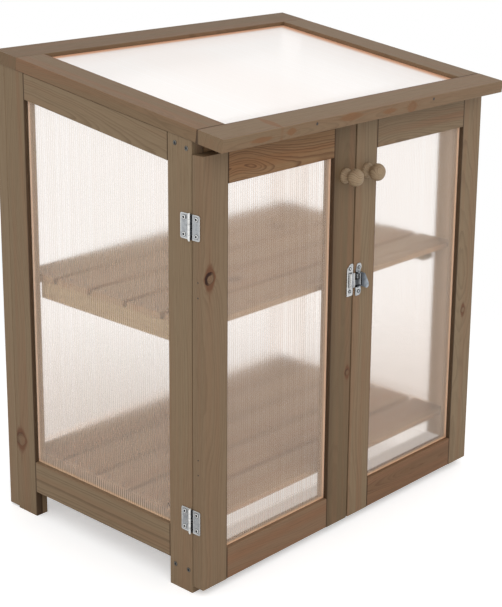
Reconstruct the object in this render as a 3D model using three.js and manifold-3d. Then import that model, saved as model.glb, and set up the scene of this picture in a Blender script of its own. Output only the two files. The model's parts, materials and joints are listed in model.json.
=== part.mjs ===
// Wooden mini greenhouse: a pine cabinet on four posts, glazed with fluted sheets, with two doors, two slatted
// shelves and a sloping glazed lid hinged at the back. Millimetres, X across, Y to the back, Z up.
// The pieces are placed from the front face of the front posts (Y = 0) and from the floor (Z = 0). The whole is
// then shifted so that the origin lies on the floor at the middle of its outline.
import * as THREE from 'three';
import { mergeVertices } from 'three/addons/utils/BufferGeometryUtils.js';
import Module from 'manifold-3d';

const wasm = await Module();
wasm.setup();

// Cabinet
const cabinet_width = 679;
const side_depth = 417;
const front_height = 697.5;
const roof_pitch = THREE.MathUtils.degToRad(8.2);

// Joinery
const joint_gap = 0.25;
const metal_gap = 0.15;
const edge_ease = 0.8;
const cut_overrun = 2;

// Side frames
const side_thickness = 23;
const post_width = 48;
const side_top_rail_height = 42;
const side_bottom_rail_height = 53.5;
const side_rail_lift = 44;

// Back frame
const back_thickness = 23;
const back_stile_width = 23;
const back_foot_lift = 3;
const back_rail_height = 53.5;

// Front rails, lying flat between the side frames
const front_rail_depth = 48;
const front_rail_thickness = 23;
const front_rail_lift = 24.5;

// Glazing sheets and their grooves
const sheet_thickness = 4;
const sheet_inset = 7.8;
const groove_depth = 8;
const groove_side_gap = 0.4;
const groove_end_gap = 1;

// Shelves
const slat_count = 5;
const slat_spacing = 10;
const shelf_edge_gap = 8.5;
const slat_thickness = 9.5;
const batten_width = 28;
const batten_height = 30;
const batten_end_gap = 2;
const shelf_end_gap = 0.5;
const middle_shelf_top = 420;
const bottom_shelf_top = 105.5;

// Shelf pins in the posts, under the front and rear slats of the middle shelf
const shelf_pin_radius = 4;
const shelf_pin_reach = 12;
const shelf_pin_setback = 38;
const shelf_pin_gap = 0.3;

// Doors
const door_thickness = 22;
const door_back_gap = 1;
const door_lift = 12.5;
const door_head_drop = 19;
const door_seam = 3;
const door_stile_width = 51.5;
const door_top_rail_height = 46.5;
const door_bottom_rail_height = 51;

// Turned knobs
const knob_radius = 14;
const knob_length = 33;
const knob_seam_distance = 27;
const knob_drop = 78.5;
const knob_facets = 24;
const knob_profile_shares = [
  [0, 0], [0.86, 0], [0.86, 0.11], [0.76, 0.16], [0.55, 0.21], [0.5, 0.3], [0.62, 0.37], [0.85, 0.44],
  [0.97, 0.54], [1, 0.63], [0.95, 0.76], [0.75, 0.89], [0.42, 0.97], [0, 1],
];

// Lid
const lid_thickness = 20;
const lid_seat_gap = 0.5;
const lid_side_overhang = 1.5;
const lid_front_overhang = 61.5;
const lid_front_rail_width = 52;
const lid_rear_rail_width = 54.5;
const lid_side_rail_width = 56.5;
const lid_sheet_inset = 7;

// Butt hinges
const leaf_length = 38;
const leaf_width = 19.5;
const leaf_thickness = 1.2;
const leaf_corner = 3;
const knuckle_radius = 2.5;
const knuckle_count = 5;
const knuckle_end_gap = 0.15;
const hinge_pin_radius = 1.2;
const running_gap = 0.3;
const hinge_facets = 12;
const hinge_screw_spacing = 25;
const hinge_screw_distance = 12.5;
const screw_head_radius = 2.8;
const screw_rim_radius = 2;
const screw_head_height = 0.7;
const door_hinge_setback = 2;
const lower_hinge_rise = 107;
const upper_hinge_drop = 104.5;
const lid_hinge_inset = 129.5;

// Toggle latch across the meeting stiles, drawn from the door's front face outward
const latch_drop = 253.5;
const plate_thickness = 1.2;
const plate_corner = 3;
const keeper_left = 17;
const keeper_right = 2;
const keeper_bottom = 25;
const keeper_top = 28;
const keeper_slant_width = 8;
const keeper_slant_height = 7;
const keeper_lip_place = 10.6;
const keeper_lip_height = 3.2;
const keeper_lip_half_length = 11.5;
const keeper_screw_place = 9.5;
const keeper_screw_top = 20.5;
const keeper_screw_bottom = 17;
const base_left = 5;
const base_waist = 17;
const base_right = 20;
const base_bottom = 28;
const base_top = 25.5;
const base_waist_half_length = 13;
const base_screw_place = 12.7;
const base_screw_top = 19;
const base_screw_bottom = 21;
const ear_half_span = 11.6;
const ear_reach = 2.6;
const lever_pivot_place = 7;
const lever_pivot_height = 4.6;
const lever_end = 15.8;
const lever_top = 6.8;
const cheek_radius = 2.4;
const cheek_thickness = 1.4;
const catch_pivot_place = 12.5;
const catch_pivot_height = 4.2;
const catch_pivot_radius = 1;
const catch_barrel_radius = 1.7;
const catch_neck_bottom = 8;
const catch_neck_top = 0.5;
const catch_head_bottom = 11;
const catch_head_top = 13;
const catch_head_right = 1.6;
const catch_hook_gap = 0.6;
const catch_hook_lift = 0.4;
const tongue_length = 14.5;
const tongue_height = 27;
const tongue_slant = THREE.MathUtils.degToRad(12);
const tongue_corner = 2.2;
const tongue_outline_shares = [[0, 0.34], [0.38, 0.37], [0.98, -0.3], [1, -0.52], [0.76, -0.64], [0, -0.44]];

// Places worked out from the sizes above
const half_width = cabinet_width / 2;
const inner_half_width = half_width - side_thickness;
const roof_rise = Math.tan(roof_pitch);
const back_face = side_depth + back_thickness;
const side_rail_top = side_rail_lift + side_bottom_rail_height;
const hinge_offset = knuckle_radius + metal_gap + metal_gap;
const door_back = -door_back_gap;
const door_front = door_back - door_thickness;
const door_top = front_height - door_head_drop;
const door_hinge_heights = [door_lift + lower_hinge_rise, door_top - upper_hinge_drop];
const slat_run = side_depth - 2 * shelf_edge_gap;
const slat_width = (slat_run - (slat_count - 1) * slat_spacing) / slat_count;
const lid_hinge_reach = (back_face + hinge_offset) / Math.cos(roof_pitch);
const lid_rear = lid_hinge_reach - hinge_offset;
const lid_half_width = half_width + lid_side_overhang;

const colours = { timber: 0x806b55, slat: 0x7a6651, sheet: 0xf1e6df, zinc: 0xb4b4b6 };

// Height of the line that the frames' tops follow
function topLine(y) {
  return front_height + roof_rise * y;
}

function material(kind) {
  if (kind === 'sheet') {
    return new THREE.MeshStandardMaterial({
      color: colours.sheet, roughness: 0.35, metalness: 0, transparent: true, opacity: 0.6, name: kind,
    });
  }
  const metal = kind === 'zinc';
  const roughness = metal ? 0.35 : 0.75;
  return new THREE.MeshStandardMaterial({ color: colours[kind], roughness, metalness: metal ? 1 : 0, name: kind });
}

function piece(name, kind, geometry) {
  const mesh = new THREE.Mesh(geometry, material(kind));
  mesh.name = name;
  return mesh;
}

// Closed geometry to a solid for joining and cutting, and back
function toSolid(geometry) {
  const bare = geometry.clone();
  bare.deleteAttribute('normal');
  bare.deleteAttribute('uv');
  const merged = mergeVertices(bare);
  const mesh = new wasm.Mesh({
    numProp: 3,
    vertProperties: merged.getAttribute('position').array,
    triVerts: new Uint32Array(merged.getIndex().array),
  });
  return new wasm.Manifold(mesh);
}

function toGeometry(body) {
  const mesh = body.getMesh();
  const geometry = new THREE.BufferGeometry();
  geometry.setAttribute('position', new THREE.BufferAttribute(mesh.vertProperties, 3));
  geometry.setIndex(new THREE.BufferAttribute(mesh.triVerts, 1));
  geometry.computeVertexNormals();
  return geometry;
}

function join(first, ...others) {
  return toGeometry(others.reduce((body, other) => body.add(toSolid(other)), toSolid(first)));
}

function cut(first, ...cutters) {
  return toGeometry(cutters.reduce((body, cutter) => body.subtract(toSolid(cutter)), toSolid(first)));
}

const axis_x = new THREE.Vector3(1, 0, 0);
const axis_y = new THREE.Vector3(0, 1, 0);
const axis_z = new THREE.Vector3(0, 0, 1);
// Where an outline's two directions and its extrusion go, by the axis that it is extruded along
const turns = {
  x: new THREE.Matrix4().makeBasis(axis_y, axis_z, axis_x),
  y: new THREE.Matrix4().makeBasis(axis_z, axis_x, axis_y),
  z: new THREE.Matrix4(),
};

// A prism: an outline of points in the two directions that follow the axis, from start to end along it
function prism(axis, points, start, end) {
  const shape = new THREE.Shape(points.map(([a, b]) => new THREE.Vector2(a, b)));
  return extrude(axis, shape, start, end);
}

function extrude(axis, shape, start, end) {
  const geometry = new THREE.ExtrudeGeometry(shape, { depth: end - start, bevelEnabled: false, curveSegments: 3 });
  geometry.translate(0, 0, start);
  return geometry.applyMatrix4(turns[axis]);
}

function sorted(range) {
  return [Math.min(...range), Math.max(...range)];
}

// A straight board with eased long edges, its grain along one axis
function board(grain, x_range, y_range, z_range) {
  const ranges = { x: sorted(x_range), y: sorted(y_range), z: sorted(z_range) };
  const [first, second] = { x: ['y', 'z'], y: ['z', 'x'], z: ['x', 'y'] }[grain];
  const [a0, a1] = ranges[first];
  const [b0, b1] = ranges[second];
  const outline = [
    [a0 + edge_ease, b0], [a1 - edge_ease, b0], [a1, b0 + edge_ease], [a1, b1 - edge_ease],
    [a1 - edge_ease, b1], [a0 + edge_ease, b1], [a0, b1 - edge_ease], [a0, b0 + edge_ease],
  ];
  return prism(grain, outline, ranges[grain][0], ranges[grain][1]);
}

function box(x_range, y_range, z_range) {
  const [x0, x1] = sorted(x_range);
  const [y0, y1] = sorted(y_range);
  return prism('z', [[x0, y0], [x1, y0], [x1, y1], [x0, y1]], ...sorted(z_range));
}

// An upright board's top end, cut along the roof slope
function slopeTop(geometry) {
  geometry.computeBoundingBox();
  const middle = (geometry.boundingBox.min.z + geometry.boundingBox.max.z) / 2;
  const position = geometry.getAttribute('position');
  for (let i = 0; i < position.count; i += 1) {
    if (position.getZ(i) > middle) position.setZ(i, topLine(position.getY(i)));
  }
  return geometry;
}

// A board drawn level at Y = 0, leaned so that its long edges follow the roof slope
function followSlope(geometry) {
  return geometry.applyMatrix4(new THREE.Matrix4().makeShear(0, 0, 0, roof_rise, 0, 0));
}

// An outline with each corner rounded
function roundedShape(points, radius) {
  const corners = points.map(([x, y]) => new THREE.Vector2(x, y));
  const shape = new THREE.Shape();
  corners.forEach((corner, i) => {
    const before = corners[(i + corners.length - 1) % corners.length];
    const after = corners[(i + 1) % corners.length];
    const start = corner.clone().add(before.clone().sub(corner).setLength(radius));
    const end = corner.clone().add(after.clone().sub(corner).setLength(radius));
    if (i === 0) shape.moveTo(start.x, start.y);
    else shape.lineTo(start.x, start.y);
    shape.quadraticCurveTo(corner.x, corner.y, end.x, end.y);
  });
  shape.closePath();
  return shape;
}

// A round bar along one axis, centred on the place given
function bar(axis, radius, length, place, facets = hinge_facets) {
  const geometry = new THREE.CylinderGeometry(radius, radius, length, facets);
  if (axis === 'x') geometry.rotateZ(-Math.PI / 2);
  if (axis === 'z') geometry.rotateX(Math.PI / 2);
  return geometry.translate(...place);
}

// A low screw head that stands out along Z from a plate's face
function screwHead(x, y, face) {
  const geometry = new THREE.CylinderGeometry(
    screw_rim_radius, screw_head_radius, screw_head_height + leaf_thickness / 2, hinge_facets,
  );
  geometry.rotateX(Math.PI / 2);
  return geometry.translate(x, y, face + (screw_head_height - leaf_thickness / 2) / 2);
}

// The side window's outline in Y and Z, grown by the amount given
function sideWindow(growth) {
  const y0 = post_width - growth;
  const y1 = side_depth - post_width + growth;
  const bottom = side_rail_top - growth;
  const head = growth - side_top_rail_height;
  return [[y0, bottom], [y1, bottom], [y1, topLine(y1) + head], [y0, topLine(y0) + head]];
}

function sideFrame(side, word) {
  const x_range = [side * inner_half_width, side * half_width];
  const sheet_face = half_width - sheet_inset;
  const groove = prism(
    'x', sideWindow(groove_depth),
    ...sorted([side * (sheet_face + groove_side_gap), side * (sheet_face - sheet_thickness - groove_side_gap)]),
  );
  const sheet = prism(
    'x', sideWindow(groove_depth - groove_end_gap),
    ...sorted([side * sheet_face, side * (sheet_face - sheet_thickness)]),
  );
  const pin_height = middle_shelf_top - slat_thickness - shelf_pin_gap - shelf_pin_radius;
  const post = (y0, pin_y) => {
    const plain = slopeTop(board('z', x_range, [y0, y0 + post_width], [0, front_height]));
    const pin_length = shelf_pin_reach + cut_overrun;
    const pin_x = side * (inner_half_width - shelf_pin_reach + pin_length / 2);
    return join(cut(plain, groove), bar('x', shelf_pin_radius, pin_length, [pin_x, pin_y, pin_height]));
  };
  const rail_y = [post_width + joint_gap, side_depth - post_width - joint_gap];
  const top_rail = followSlope(board('y', x_range, rail_y, [front_height - side_top_rail_height, front_height]));
  const bottom_rail = board('y', x_range, rail_y, [side_rail_lift, side_rail_top]);
  return [
    piece(`${word}_side_front_post`, 'timber', post(0, shelf_pin_setback)),
    piece(`${word}_side_rear_post`, 'timber', post(side_depth - post_width, side_depth - shelf_pin_setback)),
    piece(`${word}_side_top_rail`, 'timber', cut(top_rail, groove)),
    piece(`${word}_side_bottom_rail`, 'timber', cut(bottom_rail, groove)),
    piece(`${word}_side_sheet`, 'sheet', sheet),
  ];
}

function backFrame() {
  const y_range = [side_depth + joint_gap, back_face];
  const rail_half = half_width - back_stile_width - joint_gap;
  const window_half = half_width - back_stile_width;
  const window_bottom = side_rail_top;
  const window_top = topLine(side_depth) - back_rail_height;
  const slab = (growth, gap) => box(
    [-window_half - growth, window_half + growth],
    [back_face - sheet_inset + gap, back_face - sheet_inset - sheet_thickness - gap],
    [window_bottom - growth, window_top + growth],
  );
  const groove = slab(groove_depth, groove_side_gap);
  const stile = (side) => {
    const x_range = [side * window_half, side * half_width];
    return cut(slopeTop(board('z', x_range, y_range, [back_foot_lift, front_height])), groove);
  };
  const rail_x = [-rail_half, rail_half];
  const top_rail = followSlope(board('x', rail_x, y_range, [front_height - back_rail_height, front_height]));
  const bottom_rail = board('x', rail_x, y_range, [side_rail_lift, side_rail_top]);
  return [
    piece('back_left_stile', 'timber', stile(-1)),
    piece('back_right_stile', 'timber', stile(1)),
    piece('back_top_rail', 'timber', cut(top_rail, groove)),
    piece('back_bottom_rail', 'timber', cut(bottom_rail, groove)),
    piece('back_sheet', 'sheet', slab(groove_depth - groove_end_gap, 0)),
  ];
}

function frontRails() {
  const x_range = [joint_gap - inner_half_width, inner_half_width - joint_gap];
  const y_range = [0, front_rail_depth];
  const top_rail = board('x', x_range, y_range, [front_height - front_rail_thickness, front_height]);
  const bottom_rail = board('x', x_range, y_range, [front_rail_lift, front_rail_lift + front_rail_thickness]);
  return [
    piece('front_top_rail', 'timber', followSlope(top_rail)),
    piece('front_bottom_rail', 'timber', bottom_rail),
  ];
}

// A shelf's slats from front to back, and its two battens under the slats' ends
function shelfBoards(top, batten_top) {
  const half = inner_half_width - shelf_end_gap;
  const pitch = slat_width + slat_spacing;
  const slats = [];
  for (let i = 0; i < slat_count; i += 1) {
    const y0 = shelf_edge_gap + i * pitch;
    slats.push(board('x', [-half, half], [y0, y0 + slat_width], [top - slat_thickness, top]));
  }
  const batten_y = [post_width + batten_end_gap, side_depth - post_width - batten_end_gap];
  const batten_bottom = top - slat_thickness - batten_height;
  const battens = [-1, 1].map((side) => board(
    'y', [side * (half - batten_width), side * half], batten_y, [batten_bottom, batten_top],
  ));
  return { slats, battens };
}

function middleShelf() {
  const underside = middle_shelf_top - slat_thickness - joint_gap;
  const { slats, battens } = shelfBoards(middle_shelf_top, underside);
  return [
    ...slats.map((slat, i) => piece(`middle_shelf_slat_${i + 1}`, 'slat', slat)),
    piece('middle_shelf_left_batten', 'slat', battens[0]),
    piece('middle_shelf_right_batten', 'slat', battens[1]),
  ];
}

// The bottom shelf is one nailed unit, its battens let into the slats by half their thickness when joined
function bottomShelf() {
  const { slats, battens } = shelfBoards(bottom_shelf_top, bottom_shelf_top - slat_thickness / 2);
  return [piece('bottom_shelf', 'slat', join(...battens, ...slats))];
}

function doorFrame(side, word) {
  const y_range = [door_front, door_back];
  const z_range = [door_lift, door_top];
  const inner_edge = door_seam / 2;
  const window_x = [inner_edge + door_stile_width, half_width - door_stile_width];
  const window_z = [door_lift + door_bottom_rail_height, door_top - door_top_rail_height];
  const slab = (growth, gap) => box(
    [side * (window_x[0] - growth), side * (window_x[1] + growth)],
    [door_front + sheet_inset - gap, door_front + sheet_inset + sheet_thickness + gap],
    [window_z[0] - growth, window_z[1] + growth],
  );
  const groove = slab(groove_depth, groove_side_gap);
  const stile = (x0, x1) => cut(board('z', [side * x0, side * x1], y_range, z_range), groove);
  const rail_x = [side * (window_x[0] + joint_gap), side * (window_x[1] - joint_gap)];
  const rail = (z0, z1) => cut(board('x', rail_x, y_range, [z0, z1]), groove);
  return [
    piece(`${word}_door_hinge_stile`, 'timber', stile(window_x[1], half_width)),
    piece(`${word}_door_meeting_stile`, 'timber', stile(inner_edge, window_x[0])),
    piece(`${word}_door_top_rail`, 'timber', rail(window_z[1], door_top)),
    piece(`${word}_door_bottom_rail`, 'timber', rail(door_lift, window_z[0])),
    piece(`${word}_door_sheet`, 'sheet', slab(groove_depth - groove_end_gap, 0)),
  ];
}

// A knob turned about its own axis, standing out from the door's front face
function knob(side, word) {
  const profile = knob_profile_shares.map(([r, l]) => new THREE.Vector2(r * knob_radius, l * knob_length));
  const mesh = piece(`${word}_knob`, 'timber', new THREE.LatheGeometry(profile, knob_facets));
  mesh.rotation.x = Math.PI;
  mesh.position.set(side * knob_seam_distance, door_front - joint_gap, door_top - knob_drop);
  return mesh;
}

// One leaf of a butt hinge. The pin runs along Z through the origin, the wood's face lies at X = -hinge_offset,
// and the leaf reaches along +Y (the fixed leaf, which carries the pin) or -Y (the swinging leaf)
function hingeLeaf(fixed) {
  const way = fixed ? 1 : -1;
  const face = metal_gap - hinge_offset;
  const plate_start = knuckle_radius + running_gap;
  const half = leaf_length / 2;
  const shape = new THREE.Shape();
  shape.moveTo(way * plate_start, -half);
  shape.lineTo(way * (leaf_width - leaf_corner), -half);
  shape.quadraticCurveTo(way * leaf_width, -half, way * leaf_width, leaf_corner - half);
  shape.lineTo(way * leaf_width, half - leaf_corner);
  shape.quadraticCurveTo(way * leaf_width, half, way * (leaf_width - leaf_corner), half);
  shape.lineTo(way * plate_start, half);
  shape.closePath();
  const plate = extrude('x', shape, face, face + leaf_thickness);
  const extras = [];
  const knuckle_length = leaf_length / knuckle_count;
  for (let i = fixed ? 0 : 1; i < knuckle_count; i += 2) {
    const z0 = i * knuckle_length - half + knuckle_end_gap;
    const z1 = (i + 1) * knuckle_length - half - knuckle_end_gap;
    const tab_y = [0, way * (plate_start + leaf_thickness)];
    extras.push(box([face, face + leaf_thickness], tab_y, [z0, z1]));
    extras.push(bar('z', knuckle_radius, z1 - z0, [0, 0, (z0 + z1) / 2]));
  }
  for (const level of [-hinge_screw_spacing / 2, hinge_screw_spacing / 2]) {
    const head = screwHead(way * hinge_screw_distance, level, face + leaf_thickness);
    extras.push(head.applyMatrix4(turns.x));
  }
  if (fixed) {
    extras.push(bar('z', hinge_pin_radius, leaf_length - knuckle_length, [0, 0, 0]));
    return join(plate, ...extras);
  }
  return cut(join(plate, ...extras), bar('z', hinge_pin_radius + running_gap, leaf_length, [0, 0, 0]));
}

// The two hinges of a door, on the outer side faces of its post and of the door's edge
function doorHinges(side, word) {
  const hinges = new THREE.Group();
  hinges.position.set(side * (half_width + hinge_offset), door_hinge_setback, 0);
  if (side < 0) hinges.rotation.y = Math.PI;
  door_hinge_heights.forEach((height, i) => {
    const level = ['lower', 'upper'][i];
    for (const fixed of [true, false]) {
      const leaf = piece(`${word}_${level}_hinge_${fixed ? 'post' : 'door'}_leaf`, 'zinc', hingeLeaf(fixed));
      leaf.position.z = side * height;
      hinges.add(leaf);
    }
  });
  return hinges;
}

// A lid hinge's leaf, turned so that its pin runs along X and the fixed leaf hangs down the back
function lidHingeLeaf(word, side, fixed) {
  const leaf = piece(`${word}_lid_hinge_${fixed ? 'frame' : 'lid'}_leaf`, 'zinc', hingeLeaf(fixed));
  leaf.geometry.applyMatrix4(new THREE.Matrix4().makeBasis(axis_y, axis_z.clone().negate(), axis_x.clone().negate()));
  leaf.position.x = side * (half_width - lid_hinge_inset);
  return leaf;
}

function lidFrameLeaves() {
  const leaves = new THREE.Group();
  leaves.position.set(0, back_face + hinge_offset, topLine(back_face + hinge_offset));
  leaves.add(lidHingeLeaf('left', -1, true), lidHingeLeaf('right', 1, true));
  return leaves;
}

// The lid, drawn level from the front posts' top edge and turned to the roof slope
function lid() {
  const z_range = [lid_seat_gap, lid_seat_gap + lid_thickness];
  const front = -lid_front_overhang;
  const window_x = lid_half_width - lid_side_rail_width;
  const window_y = [front + lid_front_rail_width, lid_rear - lid_rear_rail_width];
  const sheet_face = z_range[1] - lid_sheet_inset;
  const slab = (growth, gap) => box(
    [-window_x - growth, window_x + growth],
    [window_y[0] - growth, window_y[1] + growth],
    [sheet_face + gap, sheet_face - sheet_thickness - gap],
  );
  const groove = slab(groove_depth, groove_side_gap);
  const full_x = [-lid_half_width, lid_half_width];
  const side_y = [window_y[0] + joint_gap, window_y[1] - joint_gap];
  const side_rail = (side) => cut(board('y', [side * window_x, side * lid_half_width], side_y, z_range), groove);
  const group = new THREE.Group();
  group.position.z = front_height;
  group.rotation.x = roof_pitch;
  group.add(
    piece('lid_front_rail', 'timber', cut(board('x', full_x, [front, window_y[0]], z_range), groove)),
    piece('lid_rear_rail', 'timber', cut(board('x', full_x, [window_y[1], lid_rear], z_range), groove)),
    piece('lid_left_rail', 'timber', side_rail(-1)),
    piece('lid_right_rail', 'timber', side_rail(1)),
    piece('lid_sheet', 'sheet', slab(groove_depth - groove_end_gap, 0)),
  );
  const leaves = new THREE.Group();
  leaves.position.y = lid_hinge_reach;
  leaves.add(lidHingeLeaf('left', -1, false), lidHingeLeaf('right', 1, false));
  group.add(leaves);
  return group;
}

// Latch pieces are drawn with X across, Y up the door and Z outward from its front face
function latchKeeper() {
  const outline = roundedShape([
    [-keeper_left, -keeper_bottom], [-keeper_right, -keeper_bottom], [-keeper_right, keeper_top],
    [keeper_slant_width - keeper_left, keeper_top], [-keeper_left, keeper_top - keeper_slant_height],
  ], plate_corner);
  const plate = extrude('z', outline, metal_gap, plate_thickness);
  const lip = box(
    [-keeper_lip_place, plate_thickness - keeper_lip_place],
    [-keeper_lip_half_length, keeper_lip_half_length],
    [plate_thickness / 2, keeper_lip_height],
  );
  const screws = [keeper_screw_top, -keeper_screw_bottom].map(
    (level) => screwHead(-keeper_screw_place, level, plate_thickness),
  );
  return join(plate, lip, ...screws);
}

function latchBase() {
  const outline = roundedShape([
    [base_left, -base_bottom], [base_waist, -base_bottom], [base_right, -base_screw_bottom],
    [base_waist, -base_waist_half_length], [base_waist, base_waist_half_length], [base_right, base_screw_top],
    [base_waist, base_top], [base_left + plate_corner, base_top], [base_left, base_waist_half_length],
  ], plate_corner);
  const plate = extrude('z', outline, metal_gap, plate_thickness);
  const ear_x = [lever_pivot_place - ear_reach, lever_pivot_place + ear_reach];
  const ear_outline = new THREE.Shape();
  ear_outline.moveTo(plate_thickness / 2, ear_x[0]);
  ear_outline.lineTo(lever_pivot_height, ear_x[0]);
  ear_outline.absarc(lever_pivot_height, lever_pivot_place, ear_reach, -Math.PI / 2, Math.PI / 2, false);
  ear_outline.lineTo(plate_thickness / 2, ear_x[1]);
  ear_outline.closePath();
  const ears = [-ear_half_span - plate_thickness, ear_half_span].map((start) => extrude(
    'y', ear_outline, start, start + plate_thickness,
  ));
  const bore_length = 2 * (ear_half_span + plate_thickness + cut_overrun);
  const bore = bar('y', hinge_pin_radius + running_gap, bore_length, [lever_pivot_place, 0, lever_pivot_height]);
  const screws = [base_screw_top, -base_screw_bottom].map(
    (level) => screwHead(base_screw_place, level, plate_thickness),
  );
  return join(plate, ...ears.map((ear) => cut(ear, bore)), ...screws);
}

// The lever: two cheeks joined by a web, with a flared tongue to pull and stub pins in the base's ears
function latchLever() {
  const outer = ear_half_span - running_gap;
  const inner = outer - cheek_thickness;
  const low = lever_pivot_height - cheek_radius;
  const cheek_outline = new THREE.Shape();
  cheek_outline.moveTo(low, lever_pivot_place);
  cheek_outline.lineTo(low, lever_end);
  cheek_outline.lineTo(lever_top, lever_end);
  cheek_outline.lineTo(lever_pivot_height + cheek_radius, lever_pivot_place);
  cheek_outline.absarc(lever_pivot_height, lever_pivot_place, cheek_radius, 0, Math.PI, true);
  cheek_outline.closePath();
  const cheeks = [[-outer, -inner], [inner, outer]].map(([start, end]) => extrude('y', cheek_outline, start, end));
  const hole_length = 2 * (outer + cut_overrun);
  const hole_radius = catch_pivot_radius + running_gap;
  const hole = bar('y', hole_radius, hole_length, [catch_pivot_place, 0, catch_pivot_height]);
  const web = box([lever_end - plate_thickness, lever_end], [-outer, outer], [low, lever_top]);
  const stub_length = plate_thickness + running_gap + cheek_thickness / 2;
  const stub_place = outer + running_gap + plate_thickness - stub_length / 2;
  const stubs = [-1, 1].map((way) => bar(
    'y', hinge_pin_radius, stub_length, [lever_pivot_place, way * stub_place, lever_pivot_height],
  ));
  const tongue_outline = roundedShape(
    tongue_outline_shares.map(([x, y]) => [x * tongue_length, y * tongue_height]), tongue_corner,
  );
  const tongue = extrude('z', tongue_outline, 0, plate_thickness);
  tongue.rotateY(-tongue_slant);
  tongue.translate(lever_end - plate_thickness, 0, lever_top - plate_thickness);
  return join(web, ...cheeks.map((cheek) => cut(cheek, hole)), ...stubs, tongue);
}

// The catch: a barrel that turns in the lever's cheeks, a neck across the seam and a head hooked over the lip
function latchCatch() {
  const inner = ear_half_span - running_gap - cheek_thickness - running_gap;
  const low = catch_pivot_height - plate_thickness / 2;
  const high = low + plate_thickness;
  const hook_right = keeper_lip_place + catch_hook_gap;
  const hook_left = hook_right + plate_thickness;
  const barrel = bar('y', catch_barrel_radius, 2 * inner, [catch_pivot_place, 0, catch_pivot_height]);
  const pin_length = 2 * (inner + running_gap + cheek_thickness);
  const pin = bar('y', catch_pivot_radius, pin_length, [catch_pivot_place, 0, catch_pivot_height]);
  const neck = box(
    [-catch_head_right - plate_thickness, catch_pivot_place], [-catch_neck_bottom, catch_neck_top], [low, high],
  );
  const head = box([-hook_left, -catch_head_right], [-catch_head_bottom, catch_head_top], [low, high]);
  const hook_low = plate_thickness + catch_hook_lift;
  const hook = box([-hook_left, -hook_right], [-catch_head_bottom, catch_head_top], [hook_low, high]);
  return join(barrel, pin, neck, head, hook);
}

function latch() {
  const group = new THREE.Group();
  group.position.set(0, door_front, door_top - latch_drop);
  group.rotation.x = Math.PI / 2;
  group.add(
    piece('latch_keeper', 'zinc', latchKeeper()),
    piece('latch_base', 'zinc', latchBase()),
    piece('latch_lever', 'zinc', latchLever()),
    piece('latch_catch', 'zinc', latchCatch()),
  );
  return group;
}

function greenhouse() {
  const group = new THREE.Group();
  const front_edge_height = lid_seat_gap + lid_thickness - edge_ease;
  const front_reach = lid_front_overhang * Math.cos(roof_pitch) + front_edge_height * Math.sin(roof_pitch);
  const rear_reach = back_face + hinge_offset + knuckle_radius;
  group.position.y = (front_reach - rear_reach) / 2;
  for (const [side, word] of [[-1, 'left'], [1, 'right']]) {
    group.add(...sideFrame(side, word), ...doorFrame(side, word), knob(side, word), doorHinges(side, word));
  }
  group.add(...backFrame(), ...frontRails(), ...middleShelf(), ...bottomShelf());
  group.add(lidFrameLeaves(), lid(), latch());
  return group;
}

export default greenhouse();
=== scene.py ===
import json
import math
import random

import bmesh
import bpy
from mathutils import Euler, Matrix, Vector

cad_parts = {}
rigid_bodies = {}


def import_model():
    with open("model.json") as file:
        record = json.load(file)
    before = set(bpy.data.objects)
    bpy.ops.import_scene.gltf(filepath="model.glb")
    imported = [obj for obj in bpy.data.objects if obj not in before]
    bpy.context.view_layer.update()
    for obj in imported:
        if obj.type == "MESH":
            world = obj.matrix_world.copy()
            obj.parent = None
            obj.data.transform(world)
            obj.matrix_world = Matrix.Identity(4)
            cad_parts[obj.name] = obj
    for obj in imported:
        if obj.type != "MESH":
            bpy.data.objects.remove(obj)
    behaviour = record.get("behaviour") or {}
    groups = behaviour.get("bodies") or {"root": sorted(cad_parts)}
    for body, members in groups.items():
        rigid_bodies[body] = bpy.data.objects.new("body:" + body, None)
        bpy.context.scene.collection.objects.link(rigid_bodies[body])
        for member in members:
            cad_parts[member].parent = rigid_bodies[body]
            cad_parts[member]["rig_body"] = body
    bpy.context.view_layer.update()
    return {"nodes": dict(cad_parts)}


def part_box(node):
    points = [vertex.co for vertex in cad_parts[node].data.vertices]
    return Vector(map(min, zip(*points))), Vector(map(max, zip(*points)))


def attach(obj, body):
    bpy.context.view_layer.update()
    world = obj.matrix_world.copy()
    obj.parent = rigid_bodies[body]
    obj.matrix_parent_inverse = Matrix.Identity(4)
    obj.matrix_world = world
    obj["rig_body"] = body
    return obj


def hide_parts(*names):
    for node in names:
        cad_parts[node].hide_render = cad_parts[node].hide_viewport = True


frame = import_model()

# Wooden mini greenhouse: finishes, fittings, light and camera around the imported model
mm = 0.001
roof_pitch = math.radians(8.2)
nodes = frame["nodes"]

# Places that the fittings share, in metres
side_face = 339.5 * mm
door_face = -213.81 * mm
leaf_length = 38 * mm
leaf_width = 19.5 * mm
leaf_thickness = 1.2 * mm
leaf_corner = 3 * mm
knuckle_radius = 2.5 * mm
hinge_offset = 2.8 * mm
leaf_start = 2.8 * mm
hinge_pin_y = -188.81 * mm
hinge_heights = (119.5 * mm, 574 * mm)
lid_pin_y = 251.99 * mm
lid_pin_z = 761.308 * mm
lid_hinge_x = 210 * mm
leaf_screw_reach = 12.5 * mm
leaf_screw_height = 12.5 * mm
flute_pitch = 4.56 * mm
flute_depth = 0.07 * mm
packed_sheet, sheet_thickness = 4 * mm, 3.6 * mm
head_height = 0.12 * mm
knob_x, knob_z, knob_gap = 27 * mm, 600 * mm, 0.25 * mm
both_sides = (("left", -1), ("right", 1))


# Modelling steps

def take(obj):
    """Makes one object the selected and active one."""
    bpy.ops.object.select_all(action="DESELECT")
    obj.select_set(True)
    bpy.context.view_layer.objects.active = obj


def settle(obj):
    """Writes the object's place, turn and size into its mesh."""
    take(obj)
    bpy.ops.object.transform_apply(location=True, rotation=True, scale=True)
    return obj


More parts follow.
